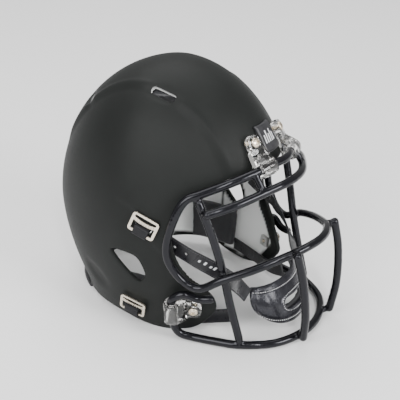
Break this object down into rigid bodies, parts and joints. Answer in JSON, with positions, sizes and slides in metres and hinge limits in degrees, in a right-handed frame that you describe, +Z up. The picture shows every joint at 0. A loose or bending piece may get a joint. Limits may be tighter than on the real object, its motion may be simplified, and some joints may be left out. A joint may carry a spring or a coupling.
{
  "type": "football helmet",
  "caption": "Half-scale american football helmet: hard shell, welded wire face mask on clear screwed clips, inner pads, and a cupped chin strap on four flip buckles.",
  "frame": {"origin": "bottom centre of the whole helmet's box, on the surface it stands on", "axes": "+Z up; the face looks along -Y; the wearer's left is +X"},
  "size_m": [0.1182, 0.1708, 0.1434],
  "materials": {
    "shell_matte_black": "matte black polycarbonate with a faint orange-peel texture, white inside",
    "wire_gloss_black": "glossy black dip coating over steel wire",
    "clip_clear_plastic": "clear polycarbonate, moulded, slightly frosted at the edges",
    "screw_zinc": "zinc-plated cross-recess pan head",
    "nut_steel": "zinc-plated square nut",
    "buckle_nickel": "nickel-plated stamped steel, warm tone, worn edges",
    "bumper_black": "semi-gloss moulded black rubber",
    "strap_black": "black coated webbing with a fine rib",
    "cup_vinyl_black": "glossy black vinyl, stitched along the band edges",
    "pad_foam_black": "black vinyl-skinned foam"
  },
  "bodies": {
    "shell_and_mask": {"back_pad": "pad_foam_black", "brow_pad": "pad_foam_black", "crown_pad": "pad_foam_black", "front_bumper": "bumper_black", "lower_strap_left": "strap_black", "lower_strap_right": "strap_black", "lower_webbing_left": "strap_black", "lower_webbing_right": "strap_black", "mask_brow_loop": "wire_gloss_black", "mask_chin_upright_left": "wire_gloss_black", "mask_chin_upright_right": "wire_gloss_black", "mask_guard_bar": "wire_gloss_black", "mask_jaw_bar": "wire_gloss_black", "mask_stub_left": "wire_gloss_black", "mask_stub_right": "wire_gloss_black", "mask_upright_left": "wire_gloss_black", "mask_upright_right": "wire_gloss_black", "rear_bumper": "bumper_black", "shell": "shell_matte_black", "side_clip_left": "clip_clear_plastic", "side_clip_right": "clip_clear_plastic", "side_nut_left": "nut_steel", "side_nut_right": "nut_steel", "side_pad_left": "pad_foam_black", "side_pad_right": "pad_foam_black", "side_screw_left": "screw_zinc", "side_screw_right": "screw_zinc", "top_clip_left": "clip_clear_plastic", "top_clip_right": "clip_clear_plastic", "top_nut_left": "nut_steel", "top_nut_right": "nut_steel", "top_screw_left": "screw_zinc", "top_screw_right": "screw_zinc", "upper_webbing_left": "strap_black", "upper_webbing_right": "strap_black"},
    "chin_strap": {"chin_cup": "cup_vinyl_black", "chin_cup_pad": "pad_foam_black", "upper_strap_left": "strap_black", "upper_strap_right": "strap_black"},
    "upper_buckle_right": {"upper_buckle_right": "buckle_nickel"},
    "lower_buckle_right": {"lower_buckle_right": "buckle_nickel"},
    "upper_buckle_left": {"upper_buckle_left": "buckle_nickel"},
    "lower_buckle_left": {"lower_buckle_left": "buckle_nickel"}
  },
  "joints": [
    {"name": "chin_strap_swing", "type": "hinge", "parent": "shell_and_mask", "child": "chin_strap", "pos_m": [0, -0.00554, 0.06601], "axis": [1, 0, 0], "range_deg": [-3.5, 4], "deforming": ["lower_strap_left", "lower_strap_right"]},
    {"name": "upper_buckle_right_flip", "type": "hinge", "parent": "shell_and_mask", "child": "upper_buckle_right", "pos_m": [-0.05627, -0.00357, 0.0651], "axis": [0.214, -0.8888, -0.4053], "range_deg": [0, 80]},
    {"name": "lower_buckle_right_flip", "type": "hinge", "parent": "shell_and_mask", "child": "lower_buckle_right", "pos_m": [-0.05285, 0.0073, 0.01057], "axis": [0.1604, -0.9501, -0.2675], "range_deg": [0, 80]},
    {"name": "upper_buckle_left_flip", "type": "hinge", "parent": "shell_and_mask", "child": "upper_buckle_left", "pos_m": [0.05627, -0.00357, 0.0651], "axis": [0.214, 0.8888, 0.4053], "range_deg": [0, 80]},
    {"name": "lower_buckle_left_flip", "type": "hinge", "parent": "shell_and_mask", "child": "lower_buckle_left", "pos_m": [0.05285, 0.0073, 0.01057], "axis": [0.1604, 0.9501, 0.2675], "range_deg": [0, 80]}
  ]
}
